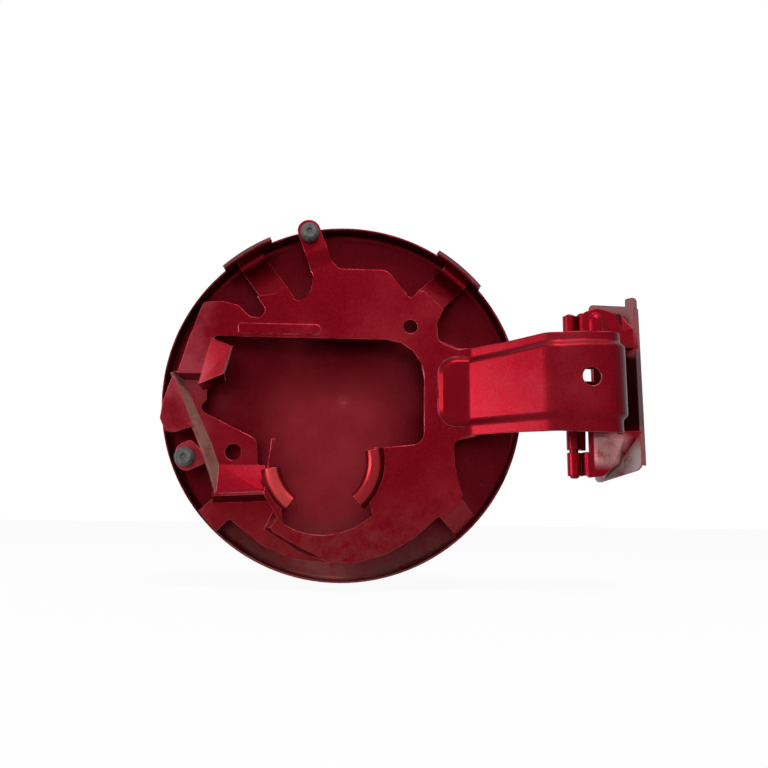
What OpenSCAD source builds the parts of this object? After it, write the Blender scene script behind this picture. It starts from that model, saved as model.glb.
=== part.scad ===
// Car fuel door with gooseneck hinge, seen from its inner side.
// Built flat: x to the hinge, y up, z inward from the skin. fit_to_car() turns it upright.

/* [Outer skin] */
// Radius of the round lid (mm)
skin_r = 82.5; // [70:0.5:95]
// Sheet of the outer skin (mm)
skin_t = 0.8; // [0.6:0.1:1.2]
// Height of the edge wall (mm)
wall_h = 9; // [6:0.5:12]
// How far the skin bulges outward in the middle (mm)
crown = 3; // [1:0.5:5]
// Radius of the pressed edge (mm)
edge_r = 3; // [2:0.5:4]

/* [Inner panel] */
// Sheet of the inner panel (mm)
panel_t = 1; // [0.8:0.1:1.5]
// Inner face of the panel above the skin's rim (mm)
panel_z = 17; // [15:0.5:20]
// Floor of the left recess (mm)
floor_z = 11; // [9:0.5:12]
// Shelf along the lower left rim (mm)
shelf_z = 9; // [7:0.5:10]
// Height of the cap-holder lips above the panel (mm)
lip_h = 6; // [3:0.5:8]
// Depth of the turned-down edges (mm)
flange_h = 3.5; // [2:0.5:5]

/* [Arm] */
// Inner face of the arm's flat top (mm)
arm_z = 41; // [36:1:50]
// Outer face of the gooseneck bend (mm)
arm_x = 120.5; // [118:0.5:124]
// Height of the pressed pad along the arm (mm)
pad_h = 2; // [1:0.25:3]

/* [Hinge] */
// Pin radius (mm)
pin_r = 2; // [1.5:0.1:2.5]
// Radial running clearance of the pin (mm)
pin_gap = 0.05; // [0.02:0.01:0.1]
// Sheet of the hinge base (mm)
base_t = 1.5; // [1.2:0.1:2]
// Distance between the two mounting holes (mm)
bolt_span = 32; // [26:1:40]
// Radius of the mounting holes (mm)
bolt_r = 3.25; // [2.6:0.05:4]

/* [Buffers] */
// Radius of the rubber buttons (mm)
buffer_r = 4.2; // [3:0.1:5.5]
// Height of a button above its tab (mm)
buffer_h = 4; // [2.5:0.5:6]
// Radius of the button's neck in the tab hole (mm)
neck_r = 2; // [1.5:0.1:2.5]

/* [Hidden] */
red = [0.51, 0.04, 0.1];
rubber = [0.2, 0.2, 0.2];
steel = [0.5, 0.3, 0.3];

round_fn = 96;
small_fn = 32;
seat_gap = 0.25;
wall_in = skin_r - skin_t;
mid_z = panel_z - panel_t / 2;

// pin axis, knuckles and the mounting face
pin_x = 104.5;
pin_z = 15;
bore_r = pin_r + pin_gap;
knuckle_r = bore_r + panel_t;
arm_y = [-22.8, 24.5];
low_y = [-34.5, -24.2];
high_y = [26, 39.3];
// sloping plate of the hinge base: near and far edge in x and z, bolt holes along its middle
plate_in = [117.4, 5];
plate_out = [133.2, 20.8];
hole_u = 6.5;
mid_y = 5.5;
mount = [plate_in.x + (hole_u + base_t / 2) * cos(45), mid_y, plate_in.y + (hole_u - base_t / 2) * sin(45)];

module fit_to_car() {
    rotate([90, 0, 0]) translate(-mount) children();
}

// ---- sheet helpers: a bent path is a list of [point, left normal]
function unit(v) = v / norm(v);
function left(v) = [-v.y, v.x];
function turn(v, a) = [v.x * cos(a) - v.y * sin(a), v.x * sin(a) + v.y * cos(a)];
function bend(p, q, s, r, k) =
    let(d0 = unit(q - p), d1 = unit(s - q),
        a = atan2(d0.x * d1.y - d0.y * d1.x, d0 * d1),
        g = sign(a), n0 = left(d0),
        c = q - d0 * r * tan(abs(a) / 2) + g * r * n0)
    [for (j = [0:k]) let(n = turn(n0, a * j / k)) [c - g * r * n, n]];
function end_of(p, q, at) = [at, left(unit(q - p))];
function bent(v, r, k = 4) = concat(
    [end_of(v[0], v[1], v[0])],
    [for (i = [1:len(v) - 2]) each bend(v[i - 1], v[i], v[i + 1], r, k)],
    [end_of(v[len(v) - 2], v[len(v) - 1], v[len(v) - 1])]);
function strip(path, t) = concat(
    [for (s = path) s[0] + s[1] * t / 2],
    [for (i = [len(path) - 1:-1:0]) path[i][0] - path[i][1] * t / 2]);
function xy(p) = [p.x, p.y];
// polygon from points that carry their corner radius
function rounded(v) = let(n = len(v))
    [for (i = [0:n - 1]) each v[i].z == 0 ? [xy(v[i])]
        : [for (s = bend(xy(v[(i + n - 1) % n]), xy(v[i]), xy(v[(i + 1) % n]), v[i].z, v[i].z > 5 ? 8 : 4)) s[0]]];

// flat sheet with its upper face at z
module sheet(z, t, v) {
    translate([0, 0, z - t]) linear_extrude(t) polygon(rounded(v));
}

// upright strip of sheet along a path in plan, from z0 up to z1
module upright(v, r, t, z0, z1) {
    translate([0, 0, z0]) linear_extrude(z1 - z0) polygon(strip(bent(v, r), t));
}

// sheet between two lines of points, thickened along d
module ruled(p, q, d) {
    swap = cross(p[1] - p[0], q[0] - p[0]) * d > 0;
    a = swap ? q : p;
    b = swap ? p : q;
    n = len(a);
    pts = concat(a, b, [for (p = a) p + d], [for (p = b) p + d]);
    top = [for (i = [0:n - 2]) each [[i, n + i, i + 1], [i + 1, n + i, n + i + 1]]];
    low = [for (f = top) [f[0] + 2 * n, f[2] + 2 * n, f[1] + 2 * n]];
    side = [for (i = [0:n - 2]) each [
        [i, i + 1, i + 1 + 2 * n], [i, i + 1 + 2 * n, i + 2 * n],
        [n + i, 3 * n + i + 1, n + i + 1], [n + i, 3 * n + i, 3 * n + i + 1]]];
    ends = [[0, 2 * n, 3 * n], [0, 3 * n, n],
        [n - 1, 2 * n - 1, 4 * n - 1], [n - 1, 4 * n - 1, 3 * n - 1]];
    polyhedron(pts, concat(top, low, side, ends));
}

// ribbon of sheet leaving the panel at an angle, profile in distance and height
module ribbon(angle, width, v, r, t) {
    rotate([0, 0, angle]) rotate([90, 0, 0])
        linear_extrude(width, center = true) polygon(strip(bent(v, r), t));
}

module knuckle(y) {
    translate([pin_x, y[0], pin_z]) rotate([-90, 0, 0]) cylinder(h = y[1] - y[0], r = knuckle_r, $fn = small_fn);
}

module pin_bore(y) {
    translate([pin_x, y[0] - 1, pin_z]) rotate([-90, 0, 0]) cylinder(h = y[1] - y[0] + 2, r = bore_r, $fn = small_fn);
}

// ---- outer skin
foot_r = skin_r - edge_r;
function crown_z(r) = -crown * (1 - pow(r / foot_r, 2));
crown_steps = [0:0.1:1];

// the wall stands taller over two legs and is folded in over their flanges
hem_z = 18;
hem_in = 2.2;
hem_sweep = 18;

module outer_skin() {
    color(red) fit_to_car() difference() {
        rotate_extrude($fn = round_fn) polygon(concat(
            [for (u = crown_steps) [foot_r * u, crown_z(foot_r * u)]],
            [for (a = [15:15:90]) [foot_r + edge_r * sin(a), edge_r - edge_r * cos(a)]],
            [[skin_r, hem_z - 2], [skin_r - hem_in, hem_z], [wall_in - hem_in, hem_z - skin_t], [wall_in, hem_z - 2.4]],
            [for (a = [90:-15:0])
                [foot_r + (edge_r - skin_t) * sin(a), edge_r - (edge_r - skin_t) * cos(a)]],
            [for (u = [0.9:-0.1:0]) [foot_r * u, crown_z(foot_r * u) + skin_t]]));
        low_wall(leg_b + hem_sweep / 2, leg_a - hem_sweep / 2);
        low_wall(leg_a + hem_sweep / 2, leg_b - hem_sweep / 2 + 360);
    }
}

// takes the wall down to its usual height from one angle to another
module low_wall(a0, a1) {
    translate([0, 0, wall_h]) rotate([0, 0, a0]) rotate_extrude(angle = a1 - a0, $fn = round_fn)
        translate([wall_in - 2 * hem_in, 0]) square([4 * hem_in, hem_z]);
}

// ---- inner panel
leg_a = 124.7;
leg_b = 49;
leg_c = -45.5;
leg_d = -136.2;
leg_w = 13;
flange_r = wall_in - seat_gap - panel_t / 2;
flange_top = 15.2;

// flat bead above the window
bead_h = 0.6;

// cap-holder circle
cap = [-8, -30];
lip_in = 19.5;
lip_out = 27;
gap_r = 31.7;

// outline of the panel's upper face, hinge side first
outline = [
    [60, -17.4, 0], [60, 22, 0], [52, 22, 3], [42.5, 25.5, 5.5], [41.8, 34, 4], [45.5, 41, 1],
    [36, 50, 1], [30.5, 44.2, 3.6], [25.5, 51.5, 3], [19.5, 59.3, 7], [-3, 59.3, 3], [-7.5, 64, 0], [-14, 62, 0],
    [-16, 48, 3.5], [-20.8, 41.6, 3.8], [-26.5, 47.5, 1], [-40.5, 45.2, 0.5],
    [-36.2, 39, 2], [-38, 34.8, 2.5], [-43.3, 35.5, 3], [-48.5, 40.7, 6], [-56, 42.4, 3], [-64.5, 41.8, 2],
    [-70.5, 23, 0], [-74.3, 8.6, 0],
    [-60, 8.6, 0], [-40, 5, 0], [-30, -10, 0], [-33.5, -44.5, 0], [-27, -55, 0], [-31, -59.4, 2],
    [-15, -68, 9], [-4, -73.5, 9], [8, -73.2, 9], [20, -69.6, 9], [32, -63, 9], [54, -43.8, 1.5],
    [49.6, -31, 6], [49, -18.5, 6]];

// the large window with the cap-holder's throat
window = [
    [-64, 2, 0], [-58.5, 26, 1], [36.6, 26, 17.5], [36.6, -21.3, 5.5],
    [17, -23.5, 1], [-34, -20, 0], [-45, 0, 0]];

module panel_face() {
    translate([0, 0, panel_z - panel_t]) linear_extrude(panel_t) difference() {
        polygon(rounded(outline));
        polygon(rounded(window));
        translate(cap) circle(r = (lip_in + lip_out) / 2, $fn = round_fn);
        translate(cap) intersection() {
            circle(r = gap_r, $fn = round_fn);
            polygon(rounded([[0, 0, 0], [21, -18, 0], [23.2, -26, 3], [0, -50, 0], [-17, -26, 3], [-17.6, -21, 0]]));
        }
        translate([30.2, 32.4]) circle(r = 3.2, $fn = small_fn);
        translate([46, -16]) square([20, 36.5]);
    }
}

// rolled lip that guides the hung-up tank cap
module lip(a0, a1) {
    translate([cap.x, cap.y, 0]) rotate([0, 0, a0]) rotate_extrude(angle = a1 - a0, $fn = round_fn)
        polygon(strip(bent([[lip_in, panel_z - 2], [lip_in + 0.8, panel_z + lip_h - 1],
            [lip_out - 2.5, panel_z + lip_h - 2], [lip_out, mid_z]], 2, 3), panel_t));
}

// recess floor with its leaning outer wall, step and slopes
foot_line = [[-74.8, 9.6], [-66.8, -6.3], [-59.2, -21.6], [-54, -34], [-51.5, -41]];
top_line = [[-77.5, 8.6], [-68.8, -10.8], [-61.6, -26.2], [-57.6, -36.5], [-54.5, -45.5]];
function at_z(v, z) = [for (p = v) [p.x, p.y, z]];

module recess() {
    difference() {
        sheet(floor_z, panel_t, [
            [-75.3, 9.6, 0], [-66.8, -6.3, 0], [-59.2, -21.6, 0], [-54, -34, 0], [-34, -33, 0],
            [-37.5, -31, 0], [-38.3, -20, 4], [-66, -6.5, 3], [-62, -2.5, 1], [-61.5, 9.6, 0]]);
        translate([-48.7, -25.9, 0]) cylinder(h = panel_z, r = 3.6, $fn = small_fn);
    }
    // leaning wall
    ruled(at_z(foot_line, floor_z), at_z(top_line, panel_z), [0.8, 0.4, -0.8]);
    // step up to the panel's face
    ruled([[-76, 6.4, floor_z], [-61.5, 6.4, floor_z]], [[-76, 9.4, panel_z], [-61.5, 9.4, panel_z]],
        [0, 0, -1.2]);
    // slope up to the ridge, and the ridge's drop to the shelf
    ruled([[-54.5, -31.5, floor_z], [-34, -31.5, floor_z]], [[-56, -45.8, panel_z], [-32.5, -44.5, panel_z]],
        [0, 0, -1.1]);
    ruled([[-56, -44.6, panel_z], [-32, -43.3, panel_z]], [[-57, -48.8, shelf_z - 0.5], [-30, -47.5, shelf_z - 0.5]],
        [0, 1, -0.6]);
}

// shelf along the lower left rim, below the panel's face
module shelf() {
    sheet(shelf_z, panel_t, [
        [-61, -45.5, 1], [-53, -52.6, 4], [-45, -58.6, 5], [-35.2, -66.1, 8], [-21.8, -72.2, 12],
        [-3, -74.2, 0], [-3, -71, 0], [-16, -65.4, 0], [-29, -57, 0], [-29, -46.8, 0], [-57, -46.8, 0]]);
    // slope from the face's crease down to the shelf
    ruled([[-26, -53, panel_z], [-30.6, -58.6, panel_z], [-15, -67, panel_z], [-3, -72.2, panel_z]],
        [[-30, -51, shelf_z - 0.8], [-34, -59.5, shelf_z - 0.8], [-18, -69.4, shelf_z - 0.8], [-4, -74, shelf_z - 0.8]],
        [0.6, 0.6, -0.4]);
    // tab that reaches the skin's wall
    rotate([0, 0, leg_d]) translate([72, -leg_w / 2 + 0.5, shelf_z - panel_t])
        cube([wall_in - seat_gap - 72, leg_w - 1, panel_t]);
}

// ear beside the recess and the tab of the lower buffer
module side_tabs() {
    sheet(panel_z, panel_t, [
        [-76, 8.4, 1], [-79.8, -4.3, 3], [-80.6, -12, 3], [-77.6, -18, 2], [-73.5, -18, 2], [-65.6, -15.3, 0],
        [-67.6, -11, 0]]);
    difference() {
        sheet(panel_z, panel_t, [
            [-66.4, -21, 2], [-72.5, -24, 4.5], [-73.3, -30.5, 4.5], [-69.2, -36, 4.5], [-59.4, -31.4, 0], [-61.5, -26, 0]]);
        translate([low_buf.x, low_buf.y, 0]) cylinder(h = 2 * panel_z, r = neck_r, $fn = small_fn);
    }
}

// latch tongue rising toward the window
module tongue() {
    ruled([[-60, 25, panel_z], [-64.8, 3.5, panel_z]], [[-49, 19.5, panel_z + 8], [-52.5, 7, panel_z + 8]],
        [0.6, 0, -1.1]);
    ruled([[-64.6, 3.9, panel_z - 0.5], [-52.3, 7.4, panel_z + 7.5]],
        [[-63.4, 1.6, floor_z - 0.5], [-53.5, 5.4, floor_z + 1]], [0.2, 0.9, 0]);
}

// leg that slopes down to the skin and turns up along its wall
module leg(angle, start, width) {
    ribbon(angle, width, [[start - 6, mid_z], [start, mid_z], [flange_r - foot_run, 4.8], [flange_r, 9.5],
        [flange_r, flange_top]], 3, panel_t);
}

// how far the leg's foot stops short of its flange
foot_run = 1.8;

buf_a = 110.6;
top_buf = [-16.9, 75];
low_buf = [-68.4, -28.9];
top_tab_z = 20;

module top_tab() {
    difference() {
        translate([top_buf.x, top_buf.y, 0]) rotate([0, 0, buf_a]) {
            rotate([90, 0, 0]) linear_extrude(10.5, center = true) polygon(strip(bent(
                [[-22, mid_z], [-15, mid_z], [-10, top_tab_z - panel_t / 2], [2, top_tab_z - panel_t / 2]], 4), panel_t));
            translate([1.5, 0, top_tab_z - panel_t]) cylinder(h = panel_t, r = 5.25, $fn = small_fn);
        }
        translate([top_buf.x, top_buf.y, 0]) cylinder(h = 2 * panel_z, r = neck_r, $fn = small_fn);
    }
}

// ---- arm: cross-section of margin, slope, pad, slope and margin swept along the gooseneck
arm_mid = arm_z - panel_t / 2;
ret_z = pin_z - knuckle_r + panel_t / 2 + 0.1;
bend_x = arm_x - panel_t / 2;
wide_x = pin_x + 6.4;
arm_v = [[42, mid_z], [57, mid_z], [89.5, arm_mid], [bend_x, arm_mid], [bend_x, ret_z], [pin_x, ret_z]];
// each station: point, normal, [outer low, outer high, pad low, pad high, pad height share, pad's side run]
function lay(s, y) = [for (e = s) [e[0], e[1], y]];
pad_run = 3.3;
up = [0, 1];
wide = [-17.5, 25.8, -12.6, 22.5, 1, pad_run];
narrow = [-13.5, 21.5, -11, 19, 0, pad_run];
stations = concat(
    lay([[[42, mid_z], up]], [-17.4, 22, -5, 13.5, 0, 5]),
    lay([[[43.6, mid_z], up]], [-17.4, 22, -6.5, 14.7, 0, 5]),
    lay([[[44.6, mid_z], up]], [-17.4, 22, -8.6, 15.9, 0.2, 5]),
    lay([[[45.8, mid_z], up]], [-17.4, 22, -10.3, 16.8, 0.7, 5]),
    lay([[[47, mid_z], up]], [-17.4, 22, -11.4, 17.4, 0.95, 5]),
    lay([[[49.5, mid_z], up]], [-17.4, 22, -12.8, 18, 1, 4]),
    lay([[[52, mid_z], up]], [-17.4, 22, -13.2, 18.2, 1, pad_run]),
    lay(bend(arm_v[0], arm_v[1], arm_v[2], 6, 6), [-17.2, 22.6, -13.1, 18.6, 1, pad_run]),
    lay([[(arm_v[1] + arm_v[2]) / 2, left(unit(arm_v[2] - arm_v[1]))]], [-17, 23.6, -12.8, 20, 1, pad_run]),
    lay(bend(arm_v[1], arm_v[2], arm_v[3], 12, 7), [-17.3, 25.2, -12.6, 21.8, 1, pad_run]),
    lay([[[103, arm_mid], up]], wide),
    lay(bend(arm_v[2], arm_v[3], arm_v[4], 7, 9), wide),
    lay([[[bend_x, 30], [1, 0]]], [-17, 25, -12.4, 21.5, 1, pad_run]),
    lay([[[bend_x, 26], [1, 0]]], [-13.6, 21.5, -11, 19, 0.5, pad_run]),
    lay([[[bend_x, 22], [1, 0]]], narrow),
    lay(bend(arm_v[3], arm_v[4], arm_v[5], 4.5, 5), narrow),
    lay([[[wide_x, ret_z], [0, -1]]], narrow),
    lay([[[wide_x - 0.3, ret_z], [0, -1]]], [arm_y[0], arm_y[1], -10, 18, 0, pad_run]),
    lay([[[pin_x, ret_z], [0, -1]]], [arm_y[0], arm_y[1], -10, 18, 0, pad_run]));
// share of the pad's side run and of its height, an S-shaped side
side_s = [[0, 0], [0.25, 0.12], [0.5, 0.5], [0.75, 0.88], [1, 1]];
side_n = len(side_s);
function line_of(e, face) =
    let(p = e[0], n = e[1], y = e[2], h = y[4] * pad_h,
        yh = concat([[y[0], 0]], [for (s = side_s) [y[2] + s[0] * y[5], s[1] * h]],
            [for (i = [side_n - 1:-1:0]) [y[3] - side_s[i][0] * y[5], side_s[i][1] * h]], [[y[1], 0]]))
    [for (q = yh) let(c = p + n * (face * panel_t / 2 + q[1])) [c.x, q[0], c.y]];
function flip(v) = [for (i = [len(v) - 1:-1:0]) v[i]];
function ring(e) = concat(line_of(e, 1), flip(line_of(e, -1)));
row_n = 2 * side_n + 2;
ring_n = 2 * row_n;

module sweep_rings(r) {
    last = (len(r) - 1) * ring_n;
    side = [for (k = [0:len(r) - 2], i = [0:ring_n - 1])
        let(a = k * ring_n + i, b = k * ring_n + (i + 1) % ring_n)
        each [[a, b, a + ring_n], [b, b + ring_n, a + ring_n]]];
    cap_low = [for (i = [0:row_n - 2]) each [[i, ring_n - 1 - i, i + 1], [i + 1, ring_n - 1 - i, ring_n - 2 - i]]];
    cap_end = [for (f = cap_low) [last + f[0], last + f[2], last + f[1]]];
    polyhedron([for (e = r) each e], concat(side, cap_low, cap_end));
}

module inner_panel() {
    color(red) fit_to_car() difference() {
        union() {
            panel_face();
            lip(188.6, 233.7);
            lip(-48, 14);
            recess();
            shelf();
            side_tabs();
            tongue();
            leg(leg_a, 56.3, leg_w);
            leg(leg_b, 60, leg_w + 1);
            ribbon(leg_c, leg_w - 0.5, [[66, mid_z], [70, mid_z], [80.8, 7]], 2, panel_t);
            top_tab();
            // turned-down edges
            upright([[45, 41], [42, 34], [42.5, 26], [52, 22], [60, 22]], 3, panel_t, panel_z - flange_h, panel_z - 0.2);
            upright([[28.3, 47.5], [19.2, 58.7], [-8, 58.7]], 6, panel_t, panel_z - flange_h, panel_z - 0.2);
            upright([[-58, 26.5], [37.1, 26.5], [37.1, -16]], 18, panel_t, panel_z - flange_h, panel_z - 0.2);
            upright([[60, -17], [49.4, -19.6], [50, -31], [53, -43]], 4, panel_t, panel_z - flange_h, panel_z - 0.2);
            upright([[53, -44], [32, -62.4], [20, -69], [8, -72.6], [-4, -72.9]], 9, panel_t, panel_z - flange_h,
                panel_z - 0.2);
            // long flat bead above the window
            sheet(panel_z + bead_h, 2 * bead_h, [[-48, 27.4, 1], [-10.8, 27.4, 2.2], [-10.8, 32.2, 2.2], [-48, 32.2, 1]]);
            sweep_rings([for (e = stations) ring(e)]);
            knuckle(arm_y);
        }
        pin_bore(arm_y);
        // round hole in the arm's top and square spring seat in its return leg
        translate([105, 5.7, arm_z - 5]) cylinder(h = 12, r = 4, $fn = small_fn);
        translate([109.8, 9.3, ret_z - 3]) cube([5.8, 5.8, 6]);
    }
}

// ---- hinge base
ear_z = 22;

// sloping mounting plate, drawn flat and tilted about its near edge
plate_len = norm(plate_out - plate_in);
module plate() {
    translate([plate_in.x, mid_y, plate_in.y]) rotate([0, -45, 0]) translate([0, 0, -base_t / 2]) difference() {
        union() {
            linear_extrude(base_t) polygon(rounded([
                [0, -42.8, 2], [plate_len, -36.8, 4], [plate_len, 36.8, 0], [plate_len + 1, 36.8, 0],
                [plate_len + 1, 42, 1.5], [plate_len - 4, 42, 1], [plate_len - 4, 38.4, 0], [0, 42.8, 2]]));
            // rim turned back behind the plate
            translate([plate_len - base_t, -35, -3.6]) cube([base_t, 82.5 - 10, 4.2]);
        }
        for (s = [-1, 1])
            translate([hole_u, s * bolt_span / 2, -5]) cylinder(h = 10, r = bolt_r, $fn = small_fn);
    }
}

// raised ear: flat face, wall leaning down to the plate, broad bead, and the strap to its knuckle
ear_y = 2.6;
ear_b = 115;
bead_w = 3.5;
bead_up = 1.8;
bead_r = (pow(bead_w, 2) + pow(bead_up, 2)) / (2 * bead_up);
module ear(s, y, face, crest, foot, bead_end) {
    translate([0, ear_y, 0]) mirror([0, s < 0 ? 1 : 0, 0]) {
        sheet(ear_z, base_t, face);
        ruled([for (p = crest) [p.x, p.y, ear_z]], foot, [-0.6, -0.4, -1.3]);
        intersection() {
            translate([ear_b, 0, ear_z + bead_up - bead_r]) union() {
                translate([0, 20, 0]) rotate([-90, 0, 0]) cylinder(h = bead_end - 20, r = bead_r, $fn = small_fn);
                translate([0, bead_end, 0]) sphere(r = bead_r, $fn = small_fn);
            }
            translate([ear_b - 10, 10, ear_z - base_t / 2]) cube([20, 40, 10]);
        }
    }
    translate([0, y[1], 0]) rotate([90, 0, 0]) linear_extrude(y[1] - y[0]) polygon(strip(bent(
        [[pin_x, ret_z], [107.9, ret_z], [107.9, ear_z - base_t / 2], [112, ear_z - base_t / 2]], 1.6), panel_t + 0.2));
    knuckle(y);
}

module lower_ear() {
    ear(-1, low_y,
        [[109.5, 17.2, 0], [125.6, 17.2, 1], [125.2, 21, 3], [119.6, 32.6, 5], [115.8, 37.2, 3], [108.3, 38.2, 1],
            [108.3, 28, 0], [109.5, 28, 0]],
        [[125.4, 17.2], [125, 20.5], [119.6, 32.4], [115, 37.4]],
        [[134, 17.2, 20.9], [133, 20, 20], [126.8, 31.5, 13.7], [121, 37.6, 7.9]], 30);
}

module upper_ear() {
    ear(1, high_y,
        [[109.5, 21, 0], [127, 21, 1], [126.8, 29, 4], [123.5, 37, 5], [115, 39.2, 5], [108.3, 36.8, 3],
            [108.3, 24, 0], [109.5, 24, 0]],
        [[126.8, 21], [126.4, 29], [122.8, 36.4], [115.5, 38.6]],
        [[134, 21, 20.9], [133.4, 30.5, 20.4], [129, 38.5, 15.9], [121, 42, 7.9]], 33.5);
}

module hinge_base() {
    color(red) fit_to_car() difference() {
        union() {
            plate();
            lower_ear();
            upper_ear();
        }
        pin_bore(low_y);
        pin_bore(high_y);
    }
}

// ---- pin, chamfered at both ends
pin_y = [-35.6, 40.2];
pin_c = 0.6;
module hinge_pin() {
    color(steel) fit_to_car() translate([pin_x, 0, pin_z]) rotate([-90, 0, 0]) rotate_extrude($fn = small_fn)
        polygon([[0, pin_y[0]], [pin_r - pin_c, pin_y[0]], [pin_r, pin_y[0] + pin_c],
            [pin_r, pin_y[1] - pin_c], [pin_r - pin_c, pin_y[1]], [0, pin_y[1]]]);
}

// ---- rubber button: round head, neck through the tab, bulb beneath
module buffer(at, z) {
    under = z - panel_t;
    color(rubber) fit_to_car() translate([at.x, at.y, 0]) rotate_extrude($fn = small_fn) polygon([
        [0, under - 3], [1.6, under - 3], [neck_r + 0.9, under - 0.6], [neck_r + 0.9, under], [neck_r, under],
        [neck_r, z], [buffer_r, z], [buffer_r, z + buffer_h - 1.2], [buffer_r - 1, z + buffer_h], [1.4, z + buffer_h],
        [1, z + buffer_h - 0.6], [0, z + buffer_h - 0.6]]);
}

module upper_buffer() {
    buffer(top_buf, top_tab_z);
}

module lower_buffer() {
    buffer(low_buf, panel_z);
}

outer_skin();
inner_panel();
hinge_base();
hinge_pin();
upper_buffer();
lower_buffer();
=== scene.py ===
from math import pi

import bpy
from mathutils import Matrix, Vector


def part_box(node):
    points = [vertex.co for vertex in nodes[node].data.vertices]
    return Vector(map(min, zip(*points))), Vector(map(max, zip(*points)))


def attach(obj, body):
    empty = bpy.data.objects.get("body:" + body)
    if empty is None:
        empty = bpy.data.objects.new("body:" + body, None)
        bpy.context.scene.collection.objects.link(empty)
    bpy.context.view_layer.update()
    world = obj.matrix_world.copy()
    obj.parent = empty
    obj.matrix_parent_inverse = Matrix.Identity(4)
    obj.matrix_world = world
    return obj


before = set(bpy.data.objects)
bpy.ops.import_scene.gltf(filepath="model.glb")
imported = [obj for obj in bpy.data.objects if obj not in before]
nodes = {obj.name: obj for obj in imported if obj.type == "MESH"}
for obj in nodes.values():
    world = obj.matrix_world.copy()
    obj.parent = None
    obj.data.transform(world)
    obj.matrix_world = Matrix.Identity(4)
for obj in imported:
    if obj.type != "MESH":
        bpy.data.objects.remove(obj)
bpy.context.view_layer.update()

MM = 0.001


# Outer skin
# A round dished cap pressed from steel sheet, its rim hemmed over the panel's
# legs, in deep red metallic paint that has gone dusty, with brown dirt low down.

# the cap bulges outward by its crown, beyond the plane of its rim
crown = 3 * MM
lid_low, lid_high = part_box("outer_skin")
lid_middle = Vector(((lid_low.x + lid_high.x) / 2, lid_high.y - crown, (lid_low.z + lid_high.z) / 2))


def at(x, y, z=0):
    """A point of the lid's own drawing (mm from its middle: x to the hinge, y up, z inward), in the frame."""
    return lid_middle + Vector((x, -z, y)) * MM


class Sock:
    """A shader socket that adds, subtracts and multiplies like a number."""

    def __init__(self, tree, socket=None):
        self.tree, self.socket = tree, socket

    def make(self, kind, inputs=(), out=0, **settings):
        """A new node with these settings and inputs, as the Sock of one of its outputs."""
        node = self.tree.nodes.new(kind)
        for name, value in settings.items():
            setattr(node, name, value)
        for name, value in dict(inputs).items():
            if isinstance(value, Sock):
                self.tree.links.new(value.socket, node.inputs[name])
            else:
                node.inputs[name].default_value = value
        return Sock(self.tree, node.outputs[out])

    def math(self, operation, a, b):
        return self.make("ShaderNodeMath", {0: a, 1: b}, operation=operation)

    def vector(self, operation, other, out="Vector"):
        return self.make("ShaderNodeVectorMath", {0: self, 1: other}, out, operation=operation)

    def __add__(self, other):
        return self.math("ADD", self, other)

    def __sub__(self, other):
        return self.math("SUBTRACT", self, other)

    def __mul__(self, other):
        return self.math("MULTIPLY", self, other)

    def __rsub__(self, other):
        return self.math("SUBTRACT", other, self)

    __radd__ = __add__
    __rmul__ = __mul__

    def largest(self, other):
        return self.math("MAXIMUM", self, other)

    def rise(self, low, high):
        """0 below low, 1 above high, smooth between."""
        return self.make("ShaderNodeMapRange", {"Value": self, "From Min": low, "From Max": high},
                         interpolation_type="SMOOTHSTEP")

    def fall(self, low, high):
        """1 below low, 0 above high, smooth between."""
        return 1.0 - self.rise(low, high)

    def axis(self, name):
        return self.make("ShaderNodeSeparateXYZ", {0: self}, out="XYZ".index(name))

    def along(self, direction):
        """How far a vector reaches along a direction."""
        return self.vector("DOT_PRODUCT", direction, out="Value")

    def beside(self, spot):
        """Distance from a line that runs along Y through a spot."""
        return self.vector("MULTIPLY", (1, 0, 1)).vector("DISTANCE", (spot.x, 0, spot.z), out="Value")

    def noise(self, scale, detail, rough=0.5, stretch=(1, 1, 1)):
        return self.make("ShaderNodeTexNoise", {"Vector": self.vector("MULTIPLY", stretch), "Scale": scale,
                                                "Detail": detail, "Roughness": rough})

    def tint(self, low, high):
        """Colour low where self is 0 and colour high where it is 1."""
        low, high = (end if isinstance(end, Sock) else (*end, 1) for end in (low, high))
        # inputs 6 and 7 and output 2 are the Mix node's colours
        return self.make("ShaderNodeMix", {0: self, 6: low, 7: high}, out=2, data_type="RGBA")


def material(name):
    """A new material, its shader, the object coordinates and the surface's normal."""
    mat = bpy.data.materials.new(name)
    mat.use_nodes = True
    tree = mat.node_tree
    place = Sock(tree).make("ShaderNodeTexCoord", out="Object")
    face = Sock(tree).make("ShaderNodeNewGeometry", out="Normal")
    return mat, tree.nodes["Principled BSDF"], place, face


def plug(shader, **values):
    """Sets the shader's inputs: numbers on the socket, Socks as links."""
    for name, value in values.items():
        socket = shader.inputs[name.replace("_", " ")]
        if isinstance(value, Sock):
            value.tree.links.new(value.socket, socket)
        else:
            socket.default_value = value


def dress(piece, mat):
    """Gives a piece one material."""
    piece.data.materials.clear()
    piece.data.materials.append(mat)


dried_film, wear_and_highlight_pink, pale_speck = (0.36, 0.035, 0.045), (0.55, 0.11, 0.13), (0.35, 0.14, 0.13)


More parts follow.
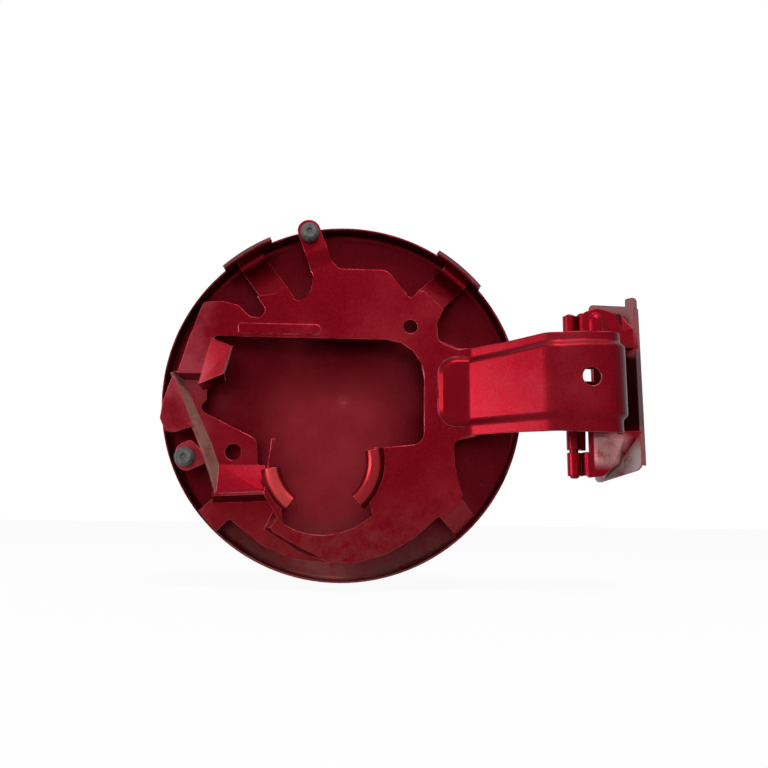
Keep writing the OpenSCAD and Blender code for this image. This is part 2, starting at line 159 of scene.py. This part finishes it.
def red_paint(name, deep, lively, dust, edge_wear_and_highlight, overlays):
    """Metallic paint with flakes, clouded dust, rubbed marks, and edges lightened partly by wear and partly
    as painted highlight.

    overlays(place, face) gives the dirt, dust and painted light and shade laid over it, as (mask, colour,
    dullness)."""
    mat, shader, place, face = material(name)
    soft = place.make("ShaderNodeBevel", {"Radius": 0.8 * MM}, samples=6)
    edge = (1.0 - soft.along(face)).rise(0.04, 0.3)
    flake, cloud = place.noise(1700, 2, 0.7), place.noise(26, 5, 0.6)
    colour = (flake.rise(0.3, 0.72) * 0.75 + cloud.rise(0.3, 0.7) * 0.25).tint(deep, lively)

    # thin lines of stretched noise in two directions, where hands and rags went over it
    level = place.noise(300, 2, 0.5, (1, 1, 14)).rise(0.66, 0.74)
    upright = place.noise(260, 2, 0.5, (12, 1, 1)).rise(0.68, 0.76)
    rub = level.largest(upright) * cloud.rise(0.45, 0.65)

    # dust lies in clouds, with more of it on what faces up
    film = cloud.rise(0.42, 0.8) * dust + face.axis("Z").rise(0.3, 1.0) * dust * 0.6 + rub * 0.12
    colour = (film * 0.4).tint(colour, dried_film)
    # edges lightened: partly wear, partly a painted highlight along the sheet's edges
    colour = (edge * place.noise(150, 3).rise(0.35, 0.6) * edge_wear_and_highlight).tint(colour, wear_and_highlight_pink)
    colour = (place.noise(900, 2, 0.7).rise(0.73, 0.78) * dust).tint(colour, pale_speck)
    rough = 0.34 + film * 0.3 + place.noise(60, 3) * 0.08
    metal = 1.0 - film * 0.3
    for mask, coat, dull in overlays(place, face):
        colour = mask.tint(colour, coat)
        rough = rough + mask * (0.35 * dull)
        metal = metal - metal * mask * dull
    bump = place.make("ShaderNodeBump", {"Strength": 0.12, "Distance": 0.1 * MM,
                                         "Height": place.noise(420, 2) + film, "Normal": soft})
    plug(shader, Base_Color=colour, Roughness=rough, Metallic=metal, Coat_Weight=0.04, Coat_Roughness=0.25,
         Normal=bump)
    return mat


def skin_overlays(place, face):
    """An even spot in the middle, the outside brighter and cleaner while the hollow side keeps its painted
    shade, a film there that is partly dust and partly painted reflection, dirt low down.
    """
    x, z, outward = place.axis("X"), place.axis("Z"), face.axis("Y")
    hub = place.beside(lid_middle).fall(2 * MM, 4 * MM)
    inside, outside = outward.fall(-0.6, -0.2), outward.rise(-0.3, 0.1)
    middle = x.rise(-0.17, -0.14) * x.fall(-0.115, -0.085) * z.fall(-0.010, 0.016)
    # a paler red over the hollow side's middle: partly dust, partly a painted reflection
    film = inside * middle * (place.noise(70, 6, 0.7).rise(0.25, 0.7) * 0.3 + 0.4)
    low = (1.0 - outside * 0.8) * z.fall(-0.088, -0.055) * place.noise(170, 6, 0.75).rise(0.25, 0.65)
    even_red, clean_red, hazy_sheen_red = (0.16, 0.004, 0.011), (0.17, 0.0014, 0.007), (0.26, 0.007, 0.016)
    brown_dirt = (0.12, 0.035, 0.028)
    return [(hub, even_red, 0.2), (outside * 0.75, clean_red, 0.0), (film, hazy_sheen_red, 0.3),
            (low * 0.8, brown_dirt, 0.8)]


# the skin's red is painted darker than the panel's same paint, as shade on its hollow side; its outside gets
# a brighter red back
skin_paint = red_paint("skin_paint", deep=(0.060, 0.0005, 0.0022), lively=(0.125, 0.0016, 0.0075),
                       dust=0.25, edge_wear_and_highlight=0.7, overlays=skin_overlays)
dress(nodes["outer_skin"], skin_paint)


# Inner panel
# One pressed sheet with the tank cap's holder, the latch tongue, turned-down
# edges and the gooseneck arm, in the same paint, dustier where it leans outwards.

holder_middle, lip_reach = at(-8, -30), 29.2 * MM


def panel_overlays(place, face):
    """Dust on the leaning wall, dirt low down, a paler arm and tabs, painted shade on the arm's bend, painted
    highlights on the lips.
    """
    x, z, hingeward = place.axis("X"), place.axis("Z"), face.axis("X")
    wall = hingeward.rise(0.45, 0.7) * x.fall(-0.174, -0.170) * place.noise(240, 5, 0.7).rise(0.1, 0.55)
    low = z.fall(-0.082, -0.045) * place.noise(210, 6, 0.75).rise(0.3, 0.7)
    arm = x.rise(-0.075, -0.05) * x.fall(-0.022, -0.008) * place.noise(60, 5, 0.7).rise(0.25, 0.75)
    # painted shade where the arm bends away at its far end
    bend_shade = x.rise(-0.011, -0.002) * hingeward.rise(-0.1, 0.3)
    tabs = x.fall(-0.188, -0.178) * place.noise(60, 4, 0.6).rise(0.3, 0.7)

    # painted highlight on the lips, which stand above the panel, stronger on the left one
    holder = place.beside(holder_middle).fall(lip_reach - 0.6 * MM, lip_reach)
    lip_highlight = place.axis("Y").fall(-0.0125, -0.0095) * holder
    left = x.fall(-0.136, -0.125)
    wall_dust, brown_dirt, pale_red = (0.22, 0.12, 0.09), (0.12, 0.03, 0.024), (0.5, 0.05, 0.07)
    bend_shade_red, tab_red, lip_highlight_red = (0.035, 0.0007, 0.003), (0.42, 0.05, 0.08), (0.55, 0.05, 0.05)
    return [(wall * 0.8, wall_dust, 0.85), (low * 0.32, brown_dirt, 0.8), (arm * 0.07, pale_red, 0.5),
            (bend_shade * 0.8, bend_shade_red, 0.0), (tabs * 0.35, tab_red, 0.7),
            (lip_highlight * (left * 0.45 + 0.25), lip_highlight_red, 0.1)]


panel_paint = red_paint("panel_paint", deep=(0.115, 0.0007, 0.0035), lively=(0.215, 0.002, 0.0105),
                        dust=0.3, edge_wear_and_highlight=0.8, overlays=panel_overlays)
dress(nodes["inner_panel"], panel_paint)


# Rounded end of the arm's pad
# The pad that stiffens the arm runs out on the panel in a rounded end with a
# soft crest. It belongs to the same pressing and lies over the solid's plainer end.

# in mm of the lid's drawing
foot_left, foot_right, foot_low, foot_high = 42.4, 57.0, -13.9, 19.1
panel_top, pad_rise, slope_run = 16.95, 2.1, 3.3
corner, corner_steps, crease = 8.5, 10, 0.6
long, wide = foot_right - foot_left, foot_high - foot_low
halfway_x, halfway_y = (foot_left + foot_right) / 2, (foot_low + foot_high) / 2

bpy.ops.object.select_all(action="DESELECT")
bpy.ops.mesh.primitive_plane_add(size=1, rotation=(pi / 2, 0, 0),
                                 location=at(halfway_x, halfway_y, panel_top))
pad_end = bpy.context.object
pad_end.name = "arm_pad_end"
pad_end.scale = (long * MM, wide * MM, 1)
bpy.ops.object.transform_apply(location=True, rotation=True, scale=True)

# only the two corners away from the arm are rounded
bpy.ops.object.mode_set(mode="EDIT")
bpy.ops.mesh.select_all(action="DESELECT")
bpy.ops.object.mode_set(mode="OBJECT")
for vertex in pad_end.data.vertices:
    vertex.select = vertex.co.x < at(halfway_x, 0).x
bpy.ops.object.mode_set(mode="EDIT")
bpy.ops.mesh.bevel(offset=corner * MM, segments=corner_steps, affect="VERTICES")
bpy.ops.mesh.select_all(action="SELECT")

# the side goes up in an S: each step's share of the rise, the last one level
rise_shares = (0.05, 0.15, 0.3, 0.3, 0.15, 0.05, 0.0)
step = slope_run / (len(rise_shares) - 1)
for share in rise_shares:
    bpy.ops.mesh.extrude_region_move(TRANSFORM_OT_translate={"value": (0, -pad_rise * share * MM, 0)})
    bpy.ops.transform.resize(value=(1 - step / long, 1, 1 - 2 * step / wide),
                             center_override=at(foot_right, halfway_y, panel_top))
    long, wide = long - step, wide - 2 * step
bpy.ops.mesh.select_all(action="SELECT")
bpy.ops.mesh.normals_make_consistent(inside=False)
bpy.ops.object.mode_set(mode="OBJECT")
bpy.ops.object.shade_smooth_by_angle(angle=crease)
dress(pad_end, panel_paint)
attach(pad_end, "door")


# Hinge base and pin
# A thicker pressed plate that is screwed to the car's sloping wall, with two
# ears rolled round a plain pin. Its sloping face carries grey road dust.

def base_overlays(place, face):
    """Painted shadow of the arm on the plate, grey dust on the plate and pale dust on the lower ear."""
    x, z, grain = place.axis("X"), place.axis("Z"), place.noise(90, 5, 0.65)
    # painted shadow of the arm: the plate behind it is made near black
    arm_shadow = x.rise(-0.006, -0.002) * z.rise(-0.022, -0.016) * z.fall(0.014, 0.022)
    plate = face.along((-0.7071, -0.7071, 0)).rise(0.93, 0.99) * x.rise(-0.0062, -0.0055)
    low = plate * z.fall(-0.030, -0.020) * grain.rise(0.25, 0.5)
    high = plate * z.rise(0.022, 0.030) * grain.rise(0.3, 0.6)
    over_ear = x.rise(-0.0115, -0.0105) * x.fall(0.0, 0.008) * z.rise(-0.038, -0.033) * z.fall(-0.024, -0.020)
    ear = (1.0 - plate) * over_ear * grain.rise(0.3, 0.52)
    painted_shadow_red, thick_dust, thin_dust = (0.02, 0.0008, 0.003), (0.27, 0.20, 0.195), (0.11, 0.06, 0.06)
    pale_dust = (0.52, 0.24, 0.24)
    return [(arm_shadow * 0.85, painted_shadow_red, 0.1), (low * 0.95, thick_dust, 0.85), (high * 0.7, thin_dust, 0.85),
            (ear * 0.8, pale_dust, 0.8)]


base_paint = red_paint("base_paint", deep=(0.13, 0.0008, 0.004), lively=(0.28, 0.003, 0.014),
                       dust=0.2, edge_wear_and_highlight=0.3, overlays=base_overlays)
dress(nodes["hinge_base"], base_paint)


def pin_soil(place, face):
    """The pin has no coat of its own."""
    return []


pin_paint = red_paint("pin_paint", deep=(0.10, 0.001, 0.006), lively=(0.2, 0.003, 0.014),
                      dust=0.3, edge_wear_and_highlight=0.6, overlays=pin_soil)
dress(nodes["hinge_pin"], pin_paint)


# Rubber buttons
# Two moulded buttons pushed through tabs of the panel stop the lid from
# rattling on the car. The rubber has greyed with age.

black_rubber, grey_rubber = (0.018, 0.018, 0.019), (0.09, 0.09, 0.092)
rubber, shader, place, face = material("buffer_rubber")
aged = place.noise(700, 4, 0.6).rise(0.35, 0.7)
greyed = aged * 0.6 + face.axis("Y").fall(-1.0, -0.5) * 0.4
bump = place.make("ShaderNodeBump", {"Strength": 0.3, "Distance": 0.1 * MM, "Height": aged})
plug(shader, Base_Color=greyed.tint(black_rubber, grey_rubber), Roughness=0.7, Normal=bump)
for name in ("upper_buffer", "lower_buffer"):
    dress(nodes[name], rubber)


# Camera
# Seen from the inner side, about 5 cm below the lid's middle and 34 cm away,
# and turned so that the lid's circle shows as the photograph's oval.

lens = bpy.data.cameras.new("camera")
lens.lens, lens.sensor_width, lens.clip_start = 33.75, 36.0, 0.01
camera = bpy.data.objects.new("camera", lens)
bpy.context.scene.collection.objects.link(camera)
# the view's own axes, fitted to the lid and the arm in the photograph
right = Vector((0.9992, -0.0380, 0.0134))
up = Vector((-0.0201, -0.1815, 0.9833))
back = Vector((-0.0349, -0.9827, -0.1821))
turn = Matrix((right, up, back)).transposed().to_4x4()
camera.matrix_world = Matrix.Translation(at(7.07, -53.8, 336.2)) @ turn
bpy.context.scene.camera = camera


# Floor and light
# A plain pale floor just under the lid, a soft light high in front of its inner
# side, a weaker one from the left, and a white surround.

floor_gap, floor_width = 3.5 * MM, 6
bpy.ops.object.select_all(action="DESELECT")
bpy.ops.mesh.primitive_plane_add(size=floor_width, location=(0, 0, lid_low.z - floor_gap))
floor = bpy.context.object
floor.name = "floor"


def seen_straight(tree):
    """1 where the camera, a mirror or a glass looks at the surface, 0 for light that bounces."""
    def ray(kind):
        return Sock(tree).make("ShaderNodeLightPath", out=f"Is {kind} Ray")

    return ray("Camera").largest(ray("Glossy")).largest(ray("Transmission"))


# looked at straight, floor and surround are nearly white; the object gets less light from them
floor_glow, room_light, room_white = 0.93, 0.35, 1.0
floor_white, shader = material("floor_white")[:2]
plug(shader, Base_Color=(0.8, 0.8, 0.8, 1), Roughness=0.9)
tree = floor_white.node_tree
glow = Sock(tree).make("ShaderNodeEmission")
lit = Sock(tree, shader.outputs[0])
mixed = Sock(tree).make("ShaderNodeMixShader", {0: seen_straight(tree) * floor_glow, 1: lit, 2: glow})
plug(tree.nodes["Material Output"], Surface=mixed)
floor.data.materials.append(floor_white)

world = bpy.data.worlds.new("studio")
bpy.context.scene.world = world
world.use_nodes = True
plug(world.node_tree.nodes["Background"], Color=(1, 1, 1, 1),
     Strength=seen_straight(world.node_tree) * (room_white - room_light) + room_light)


def lamp(name, place, aim, size, power):
    """A round area light at a place, turned toward aim."""
    light = bpy.data.lights.new(name, "AREA")
    light.shape, light.size, light.energy = "DISK", size, power
    stand = bpy.data.objects.new(name, light)
    bpy.context.scene.collection.objects.link(stand)
    stand.location = place
    stand.rotation_euler = (Vector(aim) - Vector(place)).to_track_quat("-Z", "Y").to_euler()


lamp("key", place=(0.0, -0.55, 0.85), aim=(-0.08, 0, 0), size=0.4, power=7.5)
lamp("side", place=(-1.1, -0.35, 0.1), aim=(-0.1, 0, 0), size=0.4, power=6)

bpy.context.scene.view_settings.view_transform = "Standard"
